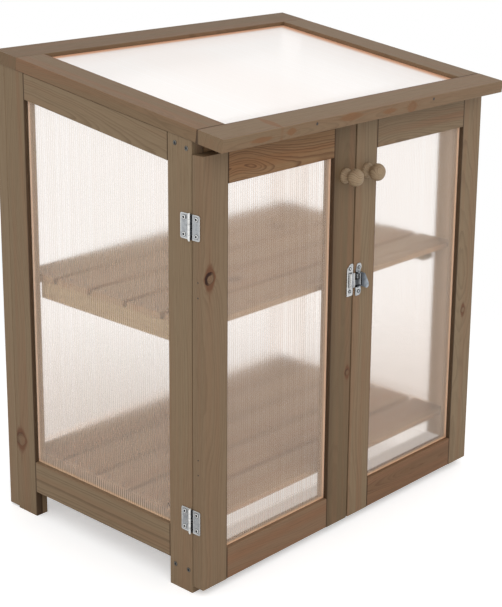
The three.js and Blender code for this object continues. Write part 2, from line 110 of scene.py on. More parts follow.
def finish_with(obj, kind, **settings):
    """Adds a modifier and applies it."""
    take(obj)
    modifier = obj.modifiers.new(kind.lower(), kind)
    for key, value in settings.items():
        setattr(modifier, key, value)
    bpy.ops.object.modifier_apply(modifier=modifier.name)


def edit(obj, mode="FACE", test=None):
    """Opens the object in edit mode with the faces, edges or vertices selected that pass the test, or with all."""
    take(obj)
    bpy.ops.object.mode_set(mode="EDIT")
    bpy.ops.mesh.select_mode(type=mode)
    bpy.ops.mesh.select_all(action="DESELECT" if test else "SELECT")
    if test:
        mesh = bmesh.from_edit_mesh(obj.data)
        for part in {"FACE": mesh.faces, "EDGE": mesh.edges, "VERT": mesh.verts}[mode]:
            part.select = test(part)
        bmesh.update_edit_mesh(obj.data)


def leave():
    bpy.ops.object.mode_set(mode="OBJECT")


def smooth(obj, degrees=35):
    take(obj)
    bpy.ops.object.shade_smooth_by_angle(angle=math.radians(degrees))
    return obj


def cube(name, lo, hi):
    """A block between two corners."""
    lo, hi = Vector(lo), Vector(hi)
    bpy.ops.mesh.primitive_cube_add(size=1, location=(lo + hi) / 2)
    obj = bpy.context.object
    obj.name = name
    obj.scale = hi - lo
    return settle(obj)


def cylinder(name, radius, z0, z1, sides=28):
    bpy.ops.mesh.primitive_cylinder_add(vertices=sides, radius=radius, depth=z1 - z0, location=(0, 0, (z0 + z1) / 2))
    obj = bpy.context.object
    obj.name = name
    return settle(obj)


def combine(obj, other, operation="UNION"):
    """Joins another solid to this one or cuts it away, and removes the other."""
    finish_with(obj, "BOOLEAN", object=other, operation=operation, solver="EXACT")
    bpy.data.objects.remove(other)


def join(obj, others):
    """Makes other objects part of this one."""
    take(obj)
    for other in others:
        other.select_set(True)
    if others:
        bpy.ops.object.join()
    return obj


def stamp(master, name, places):
    """Copies of a master, each with its own mesh put in its place, joined into one piece."""
    made = []
    for place in places:
        copy = bpy.data.objects.new(name, master.data.copy())
        bpy.context.scene.collection.objects.link(copy)
        copy.data.transform(place)
        made.append(copy)
    piece = join(made[0], made[1:])
    piece.name = name
    return piece


def dress(obj, finish):
    obj.data.materials.clear()
    obj.data.materials.append(finish)
    return obj


# Node groups and materials

def srgb(red, green, blue):
    """A colour as it reads on screen, as the linear values a shader takes."""
    def linear(value):
        value /= 255
        return value / 12.92 if value <= 0.04045 else ((value + 0.055) / 1.055) ** 2.4
    return linear(red), linear(green), linear(blue), 1


class Wiring:
    """Adds shader nodes to a tree. A value may be a number, a tuple or another node's output."""

    def __init__(self, tree, result=None):
        self.tree = tree
        self.result = result

    def add(self, kind, feeds=None, **settings):
        node = self.tree.nodes.new(kind)
        for key, value in settings.items():
            setattr(node, key, value)
        for key, value in (feeds or {}).items():
            self.feed(node.inputs[key], value)
        return node

    def feed(self, socket, value):
        if isinstance(value, bpy.types.NodeSocket):
            self.tree.links.new(value, socket)
        else:
            socket.default_value = value

    def math(self, operation, *values, clamp=False):
        node = self.add("ShaderNodeMath", dict(enumerate(values)), operation=operation, use_clamp=clamp)
        return node.outputs[0]

    def times(self, first, second):
        return self.math("MULTIPLY", first, second)

    def scaled(self, value, factor, start):
        """A value times a factor, plus a start."""
        return self.math("MULTIPLY_ADD", value, factor, start)

    def vector(self, operation, *values):
        places = (0, "Scale") if operation == "SCALE" else range(3)
        node = self.add("ShaderNodeVectorMath", dict(zip(places, values)), operation=operation)
        return node.outputs["Value" if operation in ("LENGTH", "DOT_PRODUCT") else "Vector"]

    def noise(self, place, scale, seed, detail=2, roughness=0.5):
        """A noise between about 0.3 and 0.7 at a place that is stretched by a scale for each axis."""
        stretched = self.vector("MULTIPLY", place, scale)
        node = self.add("ShaderNodeTexNoise", {"Vector": stretched, "W": seed, "Scale": 1, "Detail": detail,
                                               "Roughness": roughness}, noise_dimensions="4D")
        return node.outputs["Fac"]

    def line_noise(self, along):
        """A noise along one line."""
        return self.add("ShaderNodeTexNoise", {"W": along, "Scale": 1, "Detail": 1}, noise_dimensions="1D")

    def step(self, value, low, high):
        """A smooth step from 0 at low to 1 at high."""
        node = self.add("ShaderNodeMapRange", {"Value": value, "From Min": low, "From Max": high},
                        interpolation_type="SMOOTHSTEP")
        return node.outputs[0]

    def mix(self, share, first, second):
        return self.add("ShaderNodeMix", {"Factor": share, 6: first, 7: second}, data_type="RGBA").outputs[2]

    def here(self):
        """The point's place on its object."""
        return self.add("ShaderNodeTexCoord").outputs["Object"]

    def parts(self, place):
        return self.add("ShaderNodeSeparateXYZ", {0: place}).outputs

    def fill(self, node, **feeds):
        """Feeds inputs of a node by name, where an underscore stands for a space."""
        for key, value in feeds.items():
            self.feed(node.inputs[key.replace("_", " ")], value)
        return node

    def use(self, effect, **feeds):
        """Places a node group."""
        return self.fill(self.add("ShaderNodeGroup", node_tree=effect), **feeds).outputs

    def give(self, **results):
        """Ends a node group with its results."""
        self.fill(self.result, **results)
        return self.tree


origin = (0, 0, 0)
white = (1, 1, 1, 1)


def effect(name, numbers, colours=(), **inputs):
    """An empty node group, which is to give numbers and colours, and where to take its inputs. An input is a vector,
    a colour or a number, as its usual value is; an underscore in its name stands for a space."""
    tree = bpy.data.node_groups.new(name, "ShaderNodeTree")
    for label, value in inputs.items():
        kind = {3: "Vector", 4: "Color"}[len(value)] if isinstance(value, tuple) else "Float"
        socket = tree.interface.new_socket(label.replace("_", " "), in_out="INPUT", socket_type="NodeSocket" + kind)
        socket.default_value = value
    for kind, labels in (("Float", numbers), ("Color", colours)):
        for label in labels:
            tree.interface.new_socket(label, in_out="OUTPUT", socket_type="NodeSocket" + kind)
    given, result = tree.nodes.new("NodeGroupInput"), tree.nodes.new("NodeGroupOutput")
    return Wiring(tree, result), given.outputs


def make_pine_growth():
    """Year rings round the tree's heart, fibres and broad streaks along a board that runs along X.

    The heart dips away on both sides of one place, which draws closed loops on the face there."""
    w, given = effect("pine_growth", ("Late Wood", "Fibre", "Streak", "Height"), Place=origin, Seed=0, Heart=origin,
                      Bend=1, Dip=origin, Dip_Start=0, Dip_Length=0.1, Ring_Width=3.4 * mm, Push=0)
    place, seed = given["Place"], given["Seed"]
    across = w.vector("MULTIPLY", place, (0, 1, 1))
    along = w.parts(place)["X"]
    bend_at = w.scaled(along, 2.1, w.times(seed, 13.1))
    bend = w.vector("SUBTRACT", w.line_noise(bend_at).outputs["Color"], (0.5, 0.5, 0.5))
    bend = w.vector("SCALE", w.vector("MULTIPLY", bend, (0, 55 * mm, 55 * mm)), given["Bend"])
    away = w.math("POWER", w.math("DIVIDE", w.math("SUBTRACT", along, given["Dip Start"]), given["Dip Length"]), 2)
    dipped = w.vector("SCALE", given["Dip"], w.math("DIVIDE", away, w.math("ADD", away, 1)))
    from_heart = w.vector("SUBTRACT", w.vector("ADD", w.vector("SUBTRACT", across, given["Heart"]), bend), dipped)
    warp = w.scaled(w.noise(place, (4, 38, 38), seed), 5 * mm, given["Push"])
    warp = w.scaled(w.noise(place, (19, 46, 46), w.math("ADD", seed, 9)), 4 * mm, warp)
    rings = w.math("DIVIDE", w.math("ADD", w.vector("LENGTH", from_heart), warp), given["Ring Width"])
    uneven = w.line_noise(w.scaled(rings, 0.31, seed)).outputs["Fac"]
    rings = w.scaled(uneven, 1.8, rings)
    phase = w.math("FRACT", rings)
    late = w.times(w.math("POWER", w.step(phase, 0.2, 0.9), 1.6), w.step(phase, 1.0, 0.92))
    year = w.scaled(w.math("FLOOR", rings), 0.77, w.times(seed, 3.3))
    late = w.times(late, w.step(w.line_noise(year).outputs["Fac"], 0.2, 0.62))
    fibre = w.noise(place, (26, 760, 760), seed, 3, 0.65)
    streak = w.noise(place, (1.7, 62, 62), w.math("ADD", seed, 5))
    height = w.scaled(late, 0.5, w.times(fibre, 0.7))
    return w.give(Late_Wood=late, Fibre=fibre, Streak=streak, Height=height)


knot_traits = ("Bark", "Face", "Flame", "Push")


def make_pine_knot():
    """A knot: its face, the dark bark on one side of it, the spindle of red wood round it, and how far it pushes
    the year rings aside."""
    w, given = effect("pine_knot", knot_traits, Place=origin, Centre=origin, Reach=(1, 0.1, 1), Radius=8 * mm, Dark=1,
                      Long=3, **{trait + "_So_Far": 0 for trait in knot_traits})
    offset = w.vector("MULTIPLY", w.vector("SUBTRACT", given["Place"], given["Centre"]), given["Reach"])
    wobble = w.scaled(w.noise(given["Place"], (150, 150, 150), 1.0), 0.6, -0.3)
    distance = w.vector("LENGTH", offset)
    share = w.math("ADD", w.math("DIVIDE", distance, given["Radius"]), wobble)
    face = w.times(w.step(share, 1.0, 0.9), w.math("MULTIPLY", given["Dark"], 4, clamp=True))
    ringlets = w.math("POWER", w.scaled(w.math("SINE", w.times(share, 19)), 0.5, 0.5), 2)
    sided = w.math("DIVIDE", w.vector("DOT_PRODUCT", offset, (0.4, 0.8, 0.8)), distance)
    sided = w.step(sided, -0.5, 0.4)
    broad = w.scaled(sided, 0.24, 0.2)
    rim = w.math("DIVIDE", w.math("ABSOLUTE", w.math("SUBTRACT", share, 0.9)), broad)
    rim = w.times(w.step(rim, 1.0, 0.5), w.scaled(sided, 0.65, 0.35))
    bark = w.times(w.math("MAXIMUM", rim, w.times(w.times(face, ringlets), 0.3)), given["Dark"])
    parts = w.parts(offset)
    beside = w.vector("LENGTH", w.vector("MULTIPLY", offset, (0, 1, 1)))
    length = w.times(given["Radius"], given["Long"])
    ahead = w.math("DIVIDE", w.math("ABSOLUTE", parts["X"]), length)
    spindle = w.math("DIVIDE", beside, w.times(given["Radius"], 1.6))
    spindle = w.math("ADD", ahead, w.math("POWER", spindle, 2))
    spindle = w.step(w.scaled(wobble, 0.6, spindle), 1.1, 0.6)
    trail = w.math("DIVIDE", beside, w.times(given["Radius"], 0.34))
    trail = w.math("ADD", w.times(ahead, 0.4), trail)
    trail = w.times(w.step(trail, 1.0, 0.3), 0.8)
    flame = w.times(w.math("MAXIMUM", spindle, trail), w.scaled(face, -0.7, 1))
    fall = w.math("ADD", 1, w.math("POWER", w.math("DIVIDE", share, 1.3), 3))
    push = w.math("DIVIDE", w.times(given["Radius"], 1.6), fall)
    largest = {trait: w.math("MAXIMUM", value, given[trait + " So Far"])
               for trait, value in zip(knot_traits, (bark, face, flame))}
    return w.give(Push=w.math("ADD", push, given["Push So Far"]), **largest)


def make_wood_stain():
    """The stained colour of pine and its dull sheen, from its growth and knots; dark joints and painted shade at its
    edges.
    """
    w, given = effect(
        "wood_stain", ("Roughness",), ("Color",), Late_Wood=0, Fibre=0.5, Streak=0.5, Bark=0, Face=0, Flame=0, Edge=0,
        Redness=0.4, Contrast=0.6, Pale=srgb(134, 114, 89), Dark=srgb(99, 78, 56), Red=srgb(134, 98, 72),
        Flame_Brown=srgb(104, 68, 45), Bark_Brown=srgb(46, 21, 6), Edge_Brown=srgb(58, 40, 26))
    reddened = w.times(w.step(given["Streak"], 0.42, 0.68), given["Redness"])
    colour = w.mix(reddened, given["Pale"], given["Red"])
    late_share = w.times(given["Late Wood"], given["Contrast"])
    late_share = w.times(late_share, w.scaled(given["Face"], -0.85, 1))
    colour = w.mix(late_share, colour, given["Dark"])
    colour = w.mix(w.times(given["Flame"], 0.95), colour, given["Flame Brown"])
    colour = w.mix(w.times(w.step(given["Fibre"], 0.5, 0.76), 0.42), colour, given["Dark"])
    colour = w.mix(given["Bark"], colour, given["Bark Brown"])
    colour = w.mix(given["Edge"], colour, given["Edge Brown"])
    roughness = w.scaled(given["Fibre"], 0.3, 0.42)
    roughness = w.math("SUBTRACT", roughness, w.times(late_share, 0.1))
    return w.give(Color=colour, Roughness=roughness)


def make_zinc_skin():
    """Zinc plating: faint spangles, drawn scratches and a duller bloom in places."""
    w, given = effect("zinc_skin", ("Roughness", "Height"), ("Color",), Place=origin, Bright=white, Dull=white)
    spangle = w.add("ShaderNodeTexVoronoi", {"Vector": given["Place"], "Scale": 420}).outputs["Color"]
    spangle = w.add("ShaderNodeSeparateColor", {0: spangle}).outputs["Red"]
    bloom = w.noise(given["Place"], (150, 150, 150), 3.0, 3)
    scratch = w.noise(given["Place"], (2600, 2600, 130), 8.0)
    bloom = w.times(w.step(bloom, 0.4, 0.72), 0.8)
    share = w.math("ADD", w.times(spangle, 0.2), bloom, clamp=True)
    return w.give(Color=w.mix(share, given["Bright"], given["Dull"]),
                  Roughness=w.scaled(share, 0.2, 0.24),
                  Height=w.math("ADD", scratch, w.times(spangle, 0.2)))


def make_flute_marks():
    """The ribs inside a fluted sheet, seen as fine lines across X, each a little different."""
    w, given = effect(
        "flute_marks", ("Roughness", "Height"), ("Haze", "Clear"), Place=origin, Strength=0.5, Blur=0.215,
        Haze=srgb(255, 238, 222), Haze_Rib=srgb(224, 196, 176), Clear_Rib=srgb(243, 231, 223))
    across = w.parts(given["Place"])["X"]
    cells = w.math("DIVIDE", across, flute_pitch)
    rib = w.step(w.math("ABSOLUTE", w.math("SUBTRACT", w.math("FRACT", cells), 0.5)), 0.32, 0.1)
    own = w.line_noise(w.times(w.math("FLOOR", cells), 0.83)).outputs["Fac"]
    rib = w.times(rib, w.times(w.step(own, 0.15, 0.6), given["Strength"]))
    return w.give(Haze=w.mix(rib, given["Haze"], given["Haze Rib"]), Clear=w.mix(rib, white, given["Clear Rib"]),
                  Roughness=w.scaled(rib, 0.04, given["Blur"]), Height=rib)


# Plastic of the sheets: the painted glow its haze sends out, alone and in the groove; how much haze is lost behind
# another sheet; the share and colour of the painted warm light along the wood; the painted shade tint of the clear
# share
sheet_ior, haze_roughness = 1.1, 0.3
haze_glow, buried_glow = 0.12, 0.03
haze_lost_behind, edge_glow_share = 0.65, 0.45
edge_glow = srgb(228, 190, 154)
shade_tint = srgb(226, 208, 195)
# Colour of the painted shade on zinc
zinc_dark = srgb(52, 55, 59)
pine_growth = make_pine_growth()
pine_knot = make_pine_knot()
wood_stain = make_wood_stain()
zinc_skin = make_zinc_skin()
flute_marks = make_flute_marks()

# Turns that lay a board's length along X, for boards along each axis and down the roof's slope
turns = {"X": (0, 0, 0), "Y": (0, 0, -math.pi / 2), "Z": (0, math.pi / 2, 0), "slope": (-roof_pitch, 0, -math.pi / 2)}


def new_material(name):
    material = bpy.data.materials.new(name)
    material.use_nodes = True
    return material, Wiring(material.node_tree), material.node_tree.nodes["Principled BSDF"]


def laid_place(w, turn, centre):
    """Object coordinates turned so that the length runs along X, and centred."""
    turned = Euler(turns[turn]).to_matrix() @ Vector(centre)
    return w.add("ShaderNodeMapping", {"Vector": w.here(), "Location": -turned, "Rotation": turns[turn]}).outputs[0]


def edge_mask(w, lines):
    """How near a point is to some lines. A line is an axis, a plane across it, which way the piece lies from the
    plane, or 0 for both ways, the line's width and its weight, and perhaps the axis, plane and way it keeps within."""
    mask = 0.0
    if lines:
        parts = w.parts(w.here())
    for axis, plane, way, width, weight, *within in lines:
        depth = w.math("SUBTRACT", parts[axis], plane)
        depth = w.times(depth, float(way)) if way else w.math("ABSOLUTE", depth)
        line = w.times(w.step(depth, width, 0.2 * width), weight)
        if within:
            axis, plane, way = within
            line = w.times(line, w.step(parts[axis], plane, plane + way * 0.4 * mm))
        mask = w.math("MAXIMUM", mask, line)
    return mask


def pine(name, turn, centre, seed, redness=0.35, contrast=0.38, knots=(), heart=None, ring_width=None, dip=None,
         edges=(), glow_through_sheet=None, **colours):
    """Stained pine for one board. A knot is its place on the board, the axis it runs along, its radius, how dark its
    bark is and how many radii long its flame is; a dip is how far the heart dips, from where and within what length.
    A glow through a sheet is the colour and strength of painted light the board gives where seen through one."""
    material, w, shader = new_material(name)
    drawn = random.Random(seed)
    angle, distance = drawn.uniform(0, 2 * math.pi), drawn.uniform(18, 75) * mm
    bend = 0.2 if dip else 1.0
    heart = heart or (0, distance * math.cos(angle), distance * math.sin(angle))
    ring_width = ring_width or drawn.uniform(2.2, 3.8) * mm
    place = laid_place(w, turn, centre)
    turned = Euler(turns[turn]).to_matrix()
    found = dict.fromkeys(knot_traits, 0.0)
    for spot, axis, radius, dark, long, *across in knots:
        reach = [1.0, 1.0, 1.0]
        depth = turned @ Vector([float(letter == axis) for letter in "XYZ"])
        reach[max(range(3), key=lambda i: abs(depth[i]))] = 0.12
        spot = turned @ (Vector(spot) - Vector(centre))
        around = place
        if across:
            around = w.add("ShaderNodeMapping", {"Vector": place, "Location": (-spot.y, spot.x, -spot.z),
                                                 "Rotation": (0, 0, -math.pi / 2)}).outputs[0]
            spot = origin
        found = w.use(pine_knot, Place=around, Centre=spot, Reach=reach, Radius=radius, Dark=dark, Long=long,
                      **{trait + "_So_Far": found[trait] for trait in knot_traits})
    dip, dip_start, dip_length = dip or (origin, 0.0, 0.1)
    growth = w.use(pine_growth, Place=place, Seed=float(seed), Heart=heart, Bend=bend, Dip=dip, Dip_Start=dip_start,
                   Dip_Length=dip_length, Ring_Width=ring_width, Push=found["Push"])
    stained = w.use(wood_stain, Late_Wood=growth["Late Wood"], Fibre=growth["Fibre"], Streak=growth["Streak"],
                    Bark=found["Bark"], Face=found["Face"], Flame=found["Flame"], Edge=edge_mask(w, edges),
                    Redness=redness, Contrast=contrast, **colours)
    bump = w.add("ShaderNodeBump", {"Height": growth["Height"], "Strength": 0.22, "Distance": 0.4 * mm})
    w.fill(shader, Base_Color=stained["Color"], Roughness=stained["Roughness"], Normal=bump.outputs[0],
           Specular_IOR_Level=0.18)
    # Painted light: the board glows for rays that reach it through a sheet
    if glow_through_sheet:
        colour, strength = glow_through_sheet
        through = w.add("ShaderNodeLightPath").outputs["Is Transmission Ray"]
        w.fill(shader, Emission_Color=colour, Emission_Strength=w.times(through, strength))
    return material


def zinc(name, bright, dull, shades=(), metallic=0.9):
    """Zinc plating in two colours as they read on screen, and bands of painted shade in gaps and where it turns from
    the light.
    """
    material, w, shader = new_material(name)
    skin = w.use(zinc_skin, Place=w.here(), Bright=srgb(*bright), Dull=srgb(*dull))
    bump = w.add("ShaderNodeBump", {"Height": skin["Height"], "Strength": 0.12, "Distance": 0.1 * mm})
    w.fill(shader, Base_Color=w.mix(edge_mask(w, shades), skin["Color"], zinc_dark), Roughness=skin["Roughness"],
           Normal=bump.outputs[0], Metallic=metallic)
    return material


def fluted(name, turn, centre, haze, strength, edges, tints, warm=edge_glow, **colours):
    """Fluted sheet whose ribs stand across X: clear rough plastic with a share of pale haze, which has a faint painted
    glow for the light that comes through it. Beside the wood, along the edges, the haze share grows in a warm painted
    light."""
    material, w, shader = new_material(name)
    marks = w.use(flute_marks, Place=laid_place(w, turn, centre), Strength=strength, **colours)
    beside = edge_mask(w, edges)
    bump = w.add("ShaderNodeBump", {"Height": marks["Height"], "Strength": 0.2, "Distance": 0.1 * mm})
    milk = w.add("ShaderNodeBsdfPrincipled")
    haze_colour = w.mix(beside, marks["Haze"], warm)
    clear_colour = w.mix(edge_mask(w, tints), marks["Clear"], shade_tint)
    w.fill(shader, Base_Color=clear_colour, Normal=bump.outputs[0], Roughness=marks["Roughness"],
           Transmission_Weight=1, IOR=sheet_ior)
    # The haze lies on the outer skin alone, and is fainter where another sheet is in front of it
    outside = w.math("SUBTRACT", 1, w.add("ShaderNodeNewGeometry").outputs["Backfacing"])
    behind = w.step(w.add("ShaderNodeLightPath").outputs["Transmission Depth"], 0.5, 1.5)
    share = w.times(w.scaled(behind, -haze_lost_behind * haze, haze), outside)
    # Painted warm light: the haze share grows along the wood's edges
    share = w.scaled(w.times(beside, outside), edge_glow_share * (1 - haze), share)
    # Painted light: the border hidden in the groove gets the full haze and a little more glow, for the light the sheet
    # carries
    buried = edge_mask(w, [(axis, plane, way, 0.3 * mm, 1) for axis, plane, way, *rest in edges if way])
    share = w.math("MAXIMUM", share, buried)
    # Painted light: the haze sends out a faint glow, a little more in the groove
    w.fill(milk, Base_Color=haze_colour, Normal=bump.outputs[0], Roughness=haze_roughness, Emission_Color=haze_colour,
           Emission_Strength=w.scaled(buried, buried_glow, haze_glow))
    both = w.add("ShaderNodeMixShader", {0: share, 1: shader.outputs[0], 2: milk.outputs[0]})
    w.fill(w.tree.nodes["Material Output"], Surface=both.outputs[0])
    return material


# Camera at the photograph's viewing angle
camera_yaw = math.radians(46.588)
camera_pitch = math.radians(14.719)
camera_roll = math.radians(0.279)
camera_distance = 2430.87 * mm
camera_aim = Vector((-32.87, 19.19, 499.15)) * mm
picture_height_px = 607
focal_length_px = 1456.5
picture_shift = (0.03, -0.15)
sensor_width = 36


def make_camera():
    ahead = Vector((math.sin(camera_yaw) * math.cos(camera_pitch), math.cos(camera_yaw) * math.cos(camera_pitch),
                    -math.sin(camera_pitch)))
    right = ahead.cross(Vector((0, 0, 1))).normalized()
    up = right.cross(ahead)
    turned_right = math.cos(camera_roll) * right + math.sin(camera_roll) * up
    turned_up = -math.sin(camera_roll) * right + math.cos(camera_roll) * up
    data = bpy.data.cameras.new("camera")
    data.sensor_width = sensor_width
    data.lens = focal_length_px / picture_height_px * sensor_width
    data.shift_x, data.shift_y = picture_shift
    camera = bpy.data.objects.new("camera", data)
    axes = Matrix((turned_right, turned_up, -ahead)).transposed().to_4x4()
    camera.matrix_world = Matrix.Translation(camera_aim - camera_distance * ahead) @ axes
    bpy.context.scene.collection.objects.link(camera)
    bpy.context.scene.camera = camera


make_camera()


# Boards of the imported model

def middle(node):
    lo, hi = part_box(node)
    return (lo + hi) / 2


def board_turn(node):
    if node.endswith(("_post", "_stile")):
        return "Z"
    if node in ("left_side_top_rail", "right_side_top_rail", "lid_left_rail", "lid_right_rail"):
        return "slope"
    if node.endswith(("_side_bottom_rail", "_batten")):
        return "Y"
    return "X"


# Knots that the photograph shows: place on the board, axis, radius in millimetres, dark bark, length of the flame
knots_of = {
    "left_door_hinge_stile": [((-326, -213.8, 499), "Y", 8.5, 1, 2.9)],
    "left_side_rear_post": [((-339.5, 214, 128), "X", 11, 0.4, 2.3)],
    "left_door_meeting_stile": [((-9, -213.8, 271), "Y", 5, 0.5, 3)],
    "lid_front_rail": [((-220, -230, 712), "Z", 5.5, 0, 5.2, True), ((-199, -254, 700), "Y", 4, 0, 3),
                       ((-262, -254, 697), "Y", 3, 0, 9), ((-64, -254, 703), "Y", 4.5, 0, 7),
                       ((30, -254, 699), "Y", 3, 0, 7), ((88, -254, 698), "Y", 7, 0.08, 2)],
    "right_side_rear_post": [((339.5, 202, 420), "X", 6, 0.8, 3)],
    "right_door_hinge_stile": [((312, -213.8, 300), "Y", 5, 0.3, 3)],
    "back_left_stile": [((-328, 249, 520), "Y", 6, 1, 3)],
    "middle_shelf_slat_2": [((-120, -64, 420), "Z", 7, 0.7, 3)],
    "middle_shelf_slat_4": [((170, 100, 420), "Z", 8, 0.7, 3)],
}
# Where the heart lies on a board, how far it dips, from where and within what length, in millimetres
hearts_of = {
    "left_door_top_rail": ((0, -13, -1), (0, 24, -22), -97, 62),
    "left_side_top_rail": ((0, 13, -15), (0, -34, -4), 110, 150),
    "right_door_bottom_rail": ((0, -14, 0), (0, 26, 6), 60, 110),
    "right_door_top_rail": ((0, -6, -20), (0, 20, -10), -60, 120),
    "left_side_bottom_rail": ((0, 14, -34), (0, -6, -4), 60, 160),
    "left_side_front_post": ((0, -62, -48), (0, 6, 4), 0, 300),
}


def tones(pale=None, dark=None, red=None, **numbers):
    """A board's own colours, as they read on screen, and its other numbers."""
    colours = {"Pale": pale, "Dark": dark, "Red": red}
    return {**{key: srgb(*value) for key, value in colours.items() if value}, **numbers}


# Shelf and batten pine: a paler timber, made paler still as painted light for the dim inside of the cabinet
shelf_look = tones((172, 144, 114), (132, 100, 70), (160, 112, 78))
batten_look = tones((180, 158, 124), (140, 112, 80), (166, 128, 92))
look_of = {
    "left_door_top_rail": tones((140, 109, 77), (90, 56, 32), (138, 97, 62), redness=0.9, contrast=0.8,
                                ring_width=3.2 * mm),
    "left_door_bottom_rail": tones((132, 104, 80), redness=0.9),
    "left_door_hinge_stile": tones((129, 108, 84), redness=0.25),
    "left_door_meeting_stile": tones((112, 93, 69), redness=0.45),
    "right_door_top_rail": tones(redness=0.7, contrast=0.5),
    "right_door_bottom_rail": tones((120, 91, 66), (88, 60, 40), redness=1.0, contrast=0.55),
    "right_door_meeting_stile": tones(redness=0.6),
    "left_side_front_post": tones(contrast=0.3),
    "left_side_rear_post": tones((130, 110, 85), redness=0.55),
    "left_side_top_rail": tones(contrast=0.5, ring_width=3.6 * mm),
    "left_side_bottom_rail": tones(contrast=0.7, ring_width=6.4 * mm),
    # Painted light: the front rails are paler, standing for light in the shade behind the doors and under the lid
    "front_top_rail": tones((158, 128, 94), (124, 92, 62), (150, 108, 74)),
    "front_bottom_rail": tones((152, 127, 99), (114, 88, 64), (146, 110, 82)),
    "lid_front_rail": tones((129, 107, 82), Flame_Brown=srgb(126, 90, 60)),
    "lid_rear_rail": tones((117, 95, 71), (90, 69, 48)),
    "lid_left_rail": tones((125, 103, 78), redness=0.75),
    "lid_right_rail": tones((126, 104, 80)),
}

# Boards with a dark joint line at both ends
butted_boards = ("_top_rail", "_bottom_rail", "lid_left_rail", "lid_right_rail")
joint_width, joint_weight, lid_joint_share = 1.7 * mm, 0.62, 0.4
# Faces inside the window openings that stay in the shade in front of the sheet: axis, side of the board
shaded_reveals = {"left_side_rear_post": ("Y", 1), "right_side_rear_post": ("Y", 1),
                  "left_door_meeting_stile": ("X", 1), "right_door_hinge_stile": ("X", 1),
                  "left_door_hinge_stile": ("X", -1), "right_door_meeting_stile": ("X", -1)}
reveal_width, reveal_weight = 2.6 * mm, 0.78
sheet_front, sheet_side = -205.6 * mm, 331.3 * mm
# Painted light: boards that glow white or warm where they are seen through a sheet, standing for its bright haze
far_glow, front_glow, reveal_glow = (white, 0.8), (white, 0.36), (srgb(240, 196, 156), 0.1)
boards_glowing_through_sheets = {"right_side_rear_post": far_glow, "right_side_bottom_rail": far_glow, "back_right_stile": far_glow,
          "back_bottom_rail": far_glow, "front_bottom_rail": front_glow, "right_side_front_post": reveal_glow,
          "left_side_rear_post": reveal_glow, "left_door_meeting_stile": reveal_glow}
# Painted shade: dark lines where a board meets its sheet
glass_lines = {
    "lid_front_rail": [("Y", -203.1 * mm, -1, 3.6 * mm, 0.8)],
    "lid_left_rail": [("X", -284.5 * mm, -1, 3 * mm, 0.7)],
    "left_door_meeting_stile": [("X", -53 * mm, 1, 15 * mm, 0.26)],
    "left_door_hinge_stile": [("X", -288 * mm, -1, 3 * mm, 0.45)],
    "left_side_rear_post": [("X", -329.7 * mm, 0, 4 * mm, 0.9, "Z", 96 * mm, -1)],
}


def edges_of(node, turn):
    """The dark joint lines at a board's ends, and the painted shade in its reveal and where it meets its sheet."""
    lo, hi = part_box(node)
    axis = "Y" if turn == "slope" else turn
    i = "XYZ".index(axis)
    lines = []
    if node.endswith(butted_boards):
        weight = joint_weight * (lid_joint_share if node.startswith("lid") else 1)
        lines = [(axis, lo[i], 1, joint_width, weight), (axis, hi[i], -1, joint_width, weight)]
    if node in shaded_reveals:
        axis, way = shaded_reveals[node]
        i = "XYZ".index(axis)
        side = math.copysign(1, lo.x)
        outside = ("Y", sheet_front, -1) if "_door_" in node else ("X", side * sheet_side, side)
        lines.append((axis, lo[i] if way > 0 else hi[i], way, reveal_width, reveal_weight, *outside))
    return lines + glass_lines.get(node, [])


for seed, node in enumerate(sorted(nodes)):
    if not node.endswith(("_post", "_stile", "_rail", "_batten")) and "_slat_" not in node:
        continue
    knots = [(Vector(spot) * mm, axis, radius * mm, *rest) for spot, axis, radius, *rest in knots_of.get(node, [])]
    heart = dip = None
    if node in hearts_of:
        heart, depth, start, length = hearts_of[node]
        heart = tuple(value * mm for value in heart)
        dip = tuple(value * mm for value in depth), start * mm, length * mm
    look = batten_look if node.endswith("_batten") else shelf_look if "_slat_" in node else look_of.get(node, {})
    turn = board_turn(node)
    dress(nodes[node], pine("pine_" + node, turn, middle(node), seed + 1, knots=knots, heart=heart, dip=dip,
                            edges=edges_of(node, turn), glow_through_sheet=boards_glowing_through_sheets.get(node), **look))

# Zinc of the fittings, as it reads on screen where it is bright and where it is dull, and copies of it as painted
# highlight and painted shade
zinc_plate = zinc("zinc_plate", (208, 209, 209), (178, 180, 182))
# Painted shade for the recessed panel of a hinge leaf
zinc_panel_shade = zinc("zinc_panel_shade", (174, 177, 179), (150, 153, 156))
# Painted highlight: bright zinc for hinge barrels, screw heads and rims, and the lit bars on the latch
zinc_highlight = zinc("zinc_highlight", (240, 240, 238), (210, 210, 208), metallic=0.6)
zinc_shade = zinc("zinc_shade", (66, 69, 73), (40, 42, 45))
# Painted shade on the sides of a hinge barrel, in the gap beside it
zinc_gap_shade = zinc("zinc_gap_shade", (112, 115, 118), (72, 75, 79))
nail_black = zinc("nail_black", (44, 32, 24), (26, 19, 14), metallic=0)
# Darker zinc for the frame screws and shelf nails
zinc_dim = zinc("zinc_dim", (136, 132, 124), (74, 70, 64))
# Painted shade: dark bands on the latch's parts, in its gaps and where a part turns from the light
latch_looks = {
    "latch_keeper": ((206, 207, 207), (160, 163, 166), [("X", -13.4 * mm, 0, 0.6 * mm, 0.5)]),
    "latch_base": ((196, 198, 199), (138, 142, 146), [("X", 4.4 * mm, 1, 2 * mm, 0.8)]),
    "latch_catch": ((178, 179, 181), (134, 136, 140), [("X", -9.2 * mm, 0, 1.1 * mm, 0.75),
                                                       ("X", 5 * mm, 0, 9 * mm, 0.93)]),
    "latch_lever": ((172, 178, 185), (138, 146, 155), [("X", 14 * mm, 1, 12 * mm, 0.8)]),
}
for node, look in latch_looks.items():
    dress(nodes[node], zinc("zinc_" + node, *look))


# Fluted sheets

